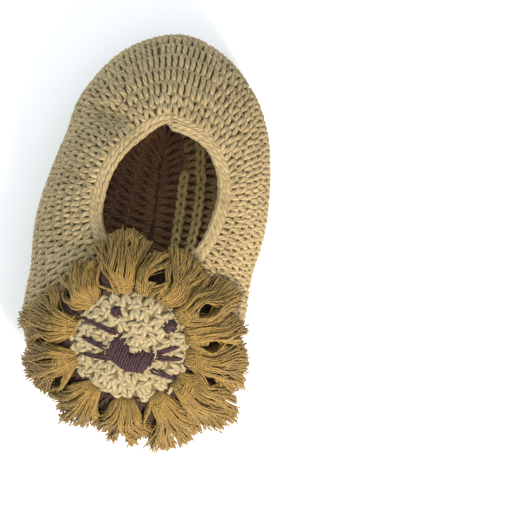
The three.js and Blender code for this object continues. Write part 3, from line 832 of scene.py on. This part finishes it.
def on_collar(turn, across, out):
    """Points about the edging's middle line: across runs up the wall, out stands off it."""
    turn, across, out = np.broadcast_arrays(turn, across, out)
    centre = on_wall(turn, 1.0)
    normal = unit(on_wall(turn, 1.0, 1) - centre)
    along = unit(on_wall(turn + 2 * BESIDE, 1.0) - on_wall(turn - 2 * BESIDE, 1.0))
    climb = unit(np.cross(along, normal))
    share = np.mod(turn, 1)
    step = NOTCH * (np.exp(-(share / NOTCH_LONG) ** 2) - np.exp(-((share - 1) / NOTCH_LONG) ** 2))
    return centre + climb * (across + step)[..., None] + normal * out[..., None]


def on_roll(turn, level, out):
    aside = (level - 0.5) * SLIP_ROLL["wide"] - SLIP_ROLL["inward"] + out * SLIP_ROLL["lean"]
    return on_collar(turn, SLIP_ROLL["across"] + out * SLIP_ROLL["rise"], aside)


def on_rim_chain(turn, level, out):
    return on_collar(turn, (level - 0.5) * RIM_CHAIN["wide"] - RIM_CHAIN["down"], out * RIM_CHAIN["rise"])


def build_edging():
    """A roll of slip stitches along the inside and a thin chain outside it, with a groove between."""
    ring = np.linspace(0, 1, EDGING_POINTS)
    core = tubes(on_collar(ring, EDGING_CORE["across"], EDGING_CORE["out"])[None], EDGING_CORE["radius"], 8)
    back = tubes(on_wall(ring, EDGING_BACK["up"], EDGING_BACK["out"])[None], EDGING_BACK["radius"], 8)
    parts = [core, back]
    for locate, form in ((on_roll, SLIP_ROLL), (on_rim_chain, RIM_CHAIN)):
        stitch = chain_stitch(form["rows"], form["yarn"])
        parts += lay_rounds(locate, [0, 1], EDGE_STITCH, stitch, points=9, loose=EDGING_LOOSE)
    piece("collar_chain", parts, RIM, "edging_yarn", "collar_edging")


# The face

FACE_RAGGED = 0.02
FACE_WAVES = [(1, 3, 1), (0.8, 7, 0), (0.6, 11, 2)]  # size, number round the edge and shift of its waves
FACE_ROUNDS = [0.02, 0.22, 0.46, 0.71, 0.97]
FACE_TURNS = 64
FACE_FORM = [(0.1, -1.9), (0.6, -1.6), (0.92, -1.1), (0.97, -0.6), (0.9, -0.35), (0.6, -0.35), (0.1, -0.35)]
FACE_STITCH = {"width": 3.1, "out": -0.35, "yarn": 0.9, "loose": 0.12}


def on_face_rounds(turn, level, out):
    turn, level, out = np.broadcast_arrays(turn, level, out)
    a = 2 * np.pi * turn
    ragged = sum(size * np.sin(count * a + shift) for size, count, shift in FACE_WAVES)
    level = level * (1 + FACE_RAGGED * ragged)
    right, high = np.sin(a) * level * FACE_WIDTH / 2, np.cos(a) * level * FACE_HEIGHT / 2
    return on_face(right, high, face_top(right, high) + out)


def build_face():
    around = np.arange(FACE_TURNS) / FACE_TURNS
    rings = np.stack([on_face_rounds(around, level, out) for level, out in FACE_FORM])
    # The face's core is darkened as painted shade in the holes between stitches
    piece("face_core", [pile(rings)], FACE_CORE_PAINTED_SHADE, "face_yarn", "lion_face")
    stitch = grain_stitch(FACE_STITCH["out"], FACE_STITCH["yarn"])
    rounds = lay_rounds(on_face_rounds, FACE_ROUNDS, FACE_STITCH["width"], stitch, loose=FACE_STITCH["loose"])
    piece("face_rounds", rounds, FACE, "face_yarn", "lion_face")


# The nose, the eyes and the whiskers

THREAD = 0.36  # radius of the embroidery's thread
NOSE = np.array([[-0.04, 0.14], [0.4, 0.34], [0.84, 0.5], [1, -0.05], [0.74, -0.76], [0.1, -1],
                 [-0.56, -0.68], [-1, -0.12], [-0.6, 0.98], [-0.28, 0.56]])
NOSE_POINTS = 80
NOSE_INSET = 0.3
NOSE_LAYERS = [{"lean": 0.0, "rise": 0.35}, {"lean": 0.12, "rise": 0.85}]
NOSE_FROM = 0.35  # how far in from the nose's sides the stitches begin and end
NOSE_TO = 0.2
NOSE_STEP = 0.62
NOSE_SHORTEST = 0.8  # no stitch is shorter than this
RAGGED_LOW = (0, 0.4)  # how far past the nose's outline a stitch's ends may lie
RAGGED_HIGH = (-0.9, 0.45)
STITCH_POINTS = 8


def nose_outline():
    n = len(NOSE)
    s = np.arange(NOSE_POINTS) * n / NOSE_POINTS
    i = s.astype(int)
    curve = curve_between(*(NOSE[(i + k) % n] for k in (-1, 0, 1, 2)), (s - i)[:, None])
    return curve * [NOSE_WIDTH / 2 - NOSE_INSET, NOSE_HEIGHT / 2 - NOSE_INSET]


def crossings(outline, x):
    """Heights at which the outline crosses the upright line at x."""
    heights = []
    for a, b in zip(outline, np.roll(outline, -1, 0)):
        if (a[0] - x) * (b[0] - x) <= 0 and a[0] != b[0]:
            heights.append(mix(a[1], b[1], (x - a[0]) / (b[0] - a[0])))
    return heights


def satin_stitch(x, low, high, layer):
    s = np.linspace(0, 1, STITCH_POINTS)
    right = NOSE_X + x + layer["lean"] * (s - 0.5) * (high - low) + rng.normal(0, 0.06)
    up = -NOSE_DROP + mix(low, high, s)
    arch = layer["rise"] * np.sin(np.pi * np.clip(s * 0.9 + 0.05, 0, 1)) ** 0.5
    return on_face(right, up, face_top(right, up) + 0.1 + arch)


def build_nose():
    """Satin stitches side by side, each from the lower edge of the heart to the upper one."""
    outline = nose_outline()
    threads = []
    for layer in NOSE_LAYERS:
        for x in np.arange(-NOSE_WIDTH / 2 + NOSE_FROM, NOSE_WIDTH / 2 - NOSE_TO, NOSE_STEP):
            heights = crossings(outline, x)
            if len(heights) < 2 or max(heights) - min(heights) < NOSE_SHORTEST:
                continue
            low = min(heights) + rng.uniform(*RAGGED_LOW)
            high = max(heights) + rng.uniform(*RAGGED_HIGH)
            threads.append(satin_stitch(x, low, high, layer))
    piece("nose_satin", [tubes(np.array(threads), THREAD, 6)], DARK, "embroidery", "nose")


# Places of the eyes, as shares of half the face's width and height, and their size as a share of EYE_SIZE
EYES = [
    {"name": "eye_left", "right": -0.37, "high": 0.54, "size": 0.92},
    {"name": "eye_right", "right": 0.565, "high": 0.535, "size": 1.1},
]
EYE_LOOPS = 7
EYE_THREAD = 0.44
EYE_INSET = 0.4
EYE_ASIDE = (-0.35, 0.75)  # how far from the middle a loop may pass, as a share of the knot's radius
LOOP_POINTS = 9


def build_eye(eye):
    """A knot: loops of thread cross over one another and stand up in the middle."""
    size = EYE_SIZE * eye["size"] / 2 - EYE_INSET
    middle = eye["right"] * FACE_WIDTH / 2, eye["high"] * FACE_HEIGHT / 2
    s = np.linspace(-1, 1, LOOP_POINTS)
    loops = []
    for loop in range(EYE_LOOPS):
        a = math.pi * loop / EYE_LOOPS * 2 + rng.normal(0, 0.2)
        beside = size * rng.uniform(*EYE_ASIDE)
        along = s * math.sqrt(size**2 - beside**2)
        right = middle[0] + along * math.cos(a) - beside * math.sin(a)
        high = middle[1] + along * math.sin(a) + beside * math.cos(a)
        arch = 0.15 + (0.55 + 0.1 * loop) * (1 - s**2) ** 0.6
        loops.append(on_face(right, high, face_top(right, high) + arch))
    piece(f"{eye['name']}_knot", [tubes(np.array(loops), EYE_THREAD, 7)], DARK, "embroidery", eye["name"])


# Tips and roots of the whiskers on the face's axes, and how their two threads part from root to tip
WHISKERS = [
    ((-13.5, 3.6), (-4.1, 2.3)),
    ((-11.9, -1.0), (-4.7, -2.0)),
    ((-10.6, -4.9), (-3.7, -4.0)),
    ((11.8, 3.3), (6.9, 0.3)),
    ((13.3, 0.4), (7.0, -0.7)),
    ((13.3, -4.6), (7.0, -4.1)),
]
WHISKER_POINTS = 9
WHISKER_PARTING = (-0.34, 0.34)
WHISKER_SAG = 0.55


def build_whiskers():
    threads = []
    s = np.linspace(0, 1, WHISKER_POINTS)
    for tip, root in WHISKERS:
        right, high = mix(tip[0], root[0], s), mix(tip[1], root[1], s)
        sag = WHISKER_SAG * np.sin(np.pi * s) ** 0.5 - 0.25
        for beside in WHISKER_PARTING:
            threads.append(on_face(right, high + beside * (0.4 + 0.8 * s), face_top(right, high) + 0.5 + sag))
    piece("whiskers", [tubes(np.array(threads), THREAD, 6)], DARK, "embroidery")


# The mane

STRANDS = 290
STRAND = 0.21  # radius of a strand
STRAND_POINTS = 12
STRAND_ROOT = 1.3  # how far inside the tuft's start its strands begin
STRAND_LOWEST = 0.25  # least height of a strand above the toe
THINNED = 0.9  # a strand's radius at its tip, as a share of that at its root
CLUMPS = 9
GATHER = 0.4  # how far the strands of a clump draw together
CURL = 2.4
PUFF = 1.9  # how much thicker a tuft is over its neck
FAN = 1.3  # how much wider the strands fan out than the solids
UNDER_STRANDS = 60
UNDER_STRAND = 0.42
UNDER_POINTS = 6
UNDER_ROOT = 1.0
UNDER_LOWEST = 0.3
WRAPS = 7  # turns of yarn round a knot
WRAP_STRAND = 0.29
WRAP_POINTS = 14
WRAP_STEP = 0.42
# How much strands, and clumps of them, differ: in degrees, millimetres or shares
SPREAD = {"clump_bend": 1.2, "clump_lift": 0.3, "clump_reach": 0.012, "clump_wave": 1.5,
          "reach": 0.014, "wave": 1.1, "tip": 1.3, "lift": 0.3, "radius": 0.15,
          "under": 0.03, "under_lift": 0.25, "wrap": 0.06}


def face_edge(degrees):
    a = np.radians(degrees - FACE_TURN)
    return 1 / np.hypot(np.sin(a) / (FACE_WIDTH / 2), np.cos(a) / (FACE_HEIGHT / 2))


# Places where the strands part and the shade shows: turn, reach as a share of MANE_RADIUS, and half the width
MANE_GAPS = [
    (15, 0.62, 2.2),
    (332, 0.58, 1.6),
    (353, 0.86, 0.8),
    (54, 0.7, 2.0),
    (80, 0.66, 1.7),
    (105, 0.7, 1.4),
    (157, 0.64, 1.7),
    (238, 0.67, 1.6),
    (303, 0.68, 1.3),
    (267, 0.74, 1.0),
    (198, 0.56, 1.3),
]
GAP_LENGTH = 1.6  # a gap's length as a multiple of its width


def parted(degrees, r):
    """Degrees of the strands' points after the strands have moved aside at the gaps."""
    for turn, reach, size in MANE_GAPS:
        past = r - reach * MANE_RADIUS
        beside = np.radians(np.mod(degrees - turn + 180, 360) - 180) * r
        nearest = np.argmin(np.abs(past), axis=1)[:, None]
        side = np.sign(np.take_along_axis(beside, nearest, 1))
        room = size * np.exp(-(past / (GAP_LENGTH * size)) ** 2)
        degrees = degrees + np.degrees(side * (np.hypot(beside, room) - np.abs(beside)) / r)
    return degrees


def tuft_clearance(s):
    """Height of a tuft's underside above the toe, at shares of its length."""
    to_neck = mix(KNOT_CLEAR, NECK_CLEAR, s / NECK_AT)
    to_tip = mix(NECK_CLEAR, TIP_CLEAR, (s - NECK_AT) / (1 - NECK_AT))
    return np.where(s < NECK_AT, to_neck, to_tip)


def tuft_strands(tuft, start, knot):
    """Strands that leave the knot in clumps, puff up over the neck and fan out to blunt ends."""
    end = MANE_RADIUS * tuft["reach"]
    each = (STRANDS, 1)
    place = np.sort(rng.uniform(-1, 1, each), 0)
    clump = np.minimum((place + 1) / 2 * CLUMPS, CLUMPS - 1).astype(int)
    middle = (clump + 0.5) / CLUMPS * 2 - 1
    clump_bend = rng.normal(0, SPREAD["clump_bend"], CLUMPS)[clump]
    clump_lift = rng.normal(0, SPREAD["clump_lift"], CLUMPS)[clump]
    clump_reach = rng.normal(1, SPREAD["clump_reach"], CLUMPS)[clump]
    depth = rng.uniform(0, 1, each) ** 0.7 * np.sqrt(1 - 0.7 * place**2)
    s = np.linspace(0, 1, STRAND_POINTS)[None]
    blunt = 0.985 - 0.13 * place**2 + 0.02 * (1 - depth)
    tip = end * blunt * clump_reach * rng.normal(1, SPREAD["reach"], each)
    r = mix(start - STRAND_ROOT, tip, s)
    open_share = np.clip((s - 0.14) / 0.86, 0, 1) ** 0.66
    gathered = place + (middle - place) * GATHER * np.sin(np.pi * s * 0.85) ** 2
    swing = gathered * mix(knot, FAN * tuft["fan"], open_share) / 2 + (tuft["bend"] + tuft["sweep"]) * s**2
    curl = (clump_bend + CURL * middle * np.abs(middle)) * s**2.2
    waves = rng.uniform(0.8, 2.6, each)
    wave = (rng.normal(0, SPREAD["clump_wave"], CLUMPS)[clump] * np.sin(np.pi * s * 1.6)
            + rng.normal(0, SPREAD["wave"], each) * np.sin(np.pi * s * waves)
            + rng.normal(0, SPREAD["tip"], each) * s**3 + curl)
    puff = np.sin(np.pi * np.clip(s * 1.2, 0, 1)) * PUFF
    height = tuft_clearance(s) * tuft["rise"] + depth * (LOCK_THICK * (1 - 0.35 * s) + puff) + 0.1
    lift = clump_lift + rng.normal(0, SPREAD["lift"], each)
    height = height + lift * s - (0.8 * (1 - depth) + 1.0 * place**2) * s**2
    paths = above(parted(tuft["turn"] + swing + wave, r), r, np.maximum(height, STRAND_LOWEST))
    radius = STRAND * np.linspace(1.0, THINNED, STRAND_POINTS)[None] * rng.normal(1, SPREAD["radius"], each)
    return tubes(paths, radius, 4)


def tuft_under(tuft, start, knot):
    """Strands close to the toe, darkened as painted shade, which show where those above part."""
    end = MANE_RADIUS * tuft["reach"]
    each = (UNDER_STRANDS, 1)
    place = np.linspace(-1, 1, UNDER_STRANDS)[:, None] + rng.normal(0, SPREAD["under"], each)
    s = np.linspace(0, 1, UNDER_POINTS)[None]
    r = mix(start - UNDER_ROOT, end * rng.uniform(0.62, 0.8, each), s)
    swing = place * mix(2.2 * knot, 1.25 * FAN * tuft["fan"], s) / 2 + tuft["bend"] * s**2
    height = 0.5 + 0.9 * tuft["rise"] + rng.normal(0, SPREAD["under_lift"], each) - 0.5 * s
    return tubes(above(tuft["turn"] + swing, r, np.maximum(height, UNDER_LOWEST)), UNDER_STRAND, 4)


def tuft_knot(tuft, start):
    """Wraps of yarn side by side over a tuft's root."""
    a = np.linspace(-0.2, np.pi + 0.2, WRAP_POINTS)
    band = []
    for k in range(WRAPS):
        half = KNOT_WIDTH / 2 * rng.uniform(0.96, 1.08)
        distance = start + 0.1 + WRAP_STEP * k + rng.normal(0, SPREAD["wrap"]) + 0.3 * np.sin(a)
        turn = tuft["turn"] + np.degrees(-np.cos(a) * half / distance)
        arch = LOCK_THICK + 0.75 * tuft["rise"] + 0.75 + 0.16 * k
        band.append(above(turn, distance, 0.3 + arch * np.sin(np.clip(a, 0, np.pi)) ** 0.5))
    return tubes(np.array(band), WRAP_STRAND, 5)


def build_tuft(index, tuft):
    """A bundle of cut yarn that is knotted at the face's edge, and the layer under it, darkened as painted
    shade.
    """
    name = f"mane_tuft_{index:02d}"
    start = face_edge(tuft["turn"]) + 2 * GAP
    knot = math.degrees(0.92 * KNOT_WIDTH / start)
    strands = tuft_strands(tuft, start, knot)
    under = tuft_under(tuft, start, knot)
    # The under layer takes the near-black yarn: painted shade between the tufts
    piece(f"{name}_under", [under], MANE_PAINTED_SHADE, "mane_yarn", name)
    piece(f"{name}_strands", [strands, tuft_knot(tuft, start)], MANE, "mane_yarn", name)


# The stage: a pale floor, soft light and the camera. Lengths are in metres.

FLOOR_HALF = 3.0
FLOOR_COLOUR = (0.93, 0.93, 0.925, 1)
FLOOR_ROUGHNESS = 0.9
SKY_COLOUR = (0.92, 0.95, 1.0, 1)
LIGHTS_AIM = (0, 0, 0.02)
LIGHTS = [
    {"name": "key", "place": (0.28, -0.44, 0.42), "size": 0.2, "power": 7.0, "colour": (1.0, 0.86, 0.68)},
    {"name": "fill", "place": (-0.55, 0.3, 0.6), "size": 0.5, "power": 2.6, "colour": (0.82, 0.95, 1.0)},
]


def area_light(light):
    data = bpy.data.lights.new(light["name"], "AREA")
    data.shape = "DISK"
    data.size = light["size"]
    data.energy = light["power"]
    data.color = light["colour"]
    made = bpy.data.objects.new(light["name"], data)
    made.location = light["place"]
    made.rotation_mode = "QUATERNION"
    made.rotation_quaternion = (Vector(LIGHTS_AIM) - Vector(light["place"])).to_track_quat("-Z", "Y")
    bpy.context.scene.collection.objects.link(made)


def build_floor():
    mesh = bpy.data.meshes.new("floor")
    corners = [(x * FLOOR_HALF, y * FLOOR_HALF, 0) for x, y in ((-1, -1), (1, -1), (1, 1), (-1, 1))]
    mesh.from_pydata(corners, [], [(0, 1, 2, 3)])
    paper = bpy.data.materials.new("paper")
    paper.use_nodes = True
    shader = paper.node_tree.nodes["Principled BSDF"]
    shader.inputs["Base Color"].default_value = FLOOR_COLOUR
    shader.inputs["Roughness"].default_value = FLOOR_ROUGHNESS
    mesh.materials.append(paper)
    floor = bpy.data.objects.new("floor", mesh)
    bpy.context.scene.collection.objects.link(floor)


def build_stage():
    build_floor()
    bpy.context.scene.view_settings.view_transform = "Standard"
    world = bpy.data.worlds.new("studio")
    bpy.context.scene.world = world
    world.use_nodes = True
    background = world.node_tree.nodes["Background"]
    background.inputs[0].default_value = SKY_COLOUR
    background.inputs[1].default_value = 1.0
    for light in LIGHTS:
        area_light(light)


# The photograph's frame: its size in pixels, the pixel that a point of the object falls on, scale and roll
FRAME_WIDTH = 526
FRAME_HEIGHT = 522
ANCHOR = (0, -0.6, 15)
ANCHOR_PIXEL = (150, 232)
PIXEL = 0.265  # millimetres of the object to a pixel
ROLL = 7.7  # degrees that the heel leans to the right
ELEVATION = 87
LENS = 300


def build_camera():
    data = bpy.data.cameras.new("camera")
    data.lens = LENS
    distance = FRAME_WIDTH * PIXEL * MM * LENS / data.sensor_width
    elevation, roll = math.radians(ELEVATION), math.radians(ROLL)
    back = Vector((0, -math.cos(elevation), math.sin(elevation)))
    right = Vector((1, 0, 0))
    up = back.cross(right)
    right, up = right * math.cos(roll) + up * math.sin(roll), up * math.cos(roll) - right * math.sin(roll)
    across = (FRAME_WIDTH / 2 - ANCHOR_PIXEL[0]) * PIXEL * MM
    down = (FRAME_HEIGHT / 2 - ANCHOR_PIXEL[1]) * PIXEL * MM
    aim = Vector(ANCHOR) * MM + right * across - up * down
    camera = bpy.data.objects.new("camera", data)
    bpy.context.scene.collection.objects.link(camera)
    camera.matrix_world = Matrix((
        (right.x, up.x, back.x, 0), (right.y, up.y, back.y, 0), (right.z, up.z, back.z, 0), (0, 0, 0, 1)))
    camera.location = aim + back * distance
    bpy.context.scene.camera = camera


build_camera()
build_upper()
build_sole()
build_edging()
build_face()
build_nose()
for one_eye in EYES:
    build_eye(one_eye)
build_whiskers()
for number, one_tuft in enumerate(TUFTS, 1):
    build_tuft(number, one_tuft)
build_stage()
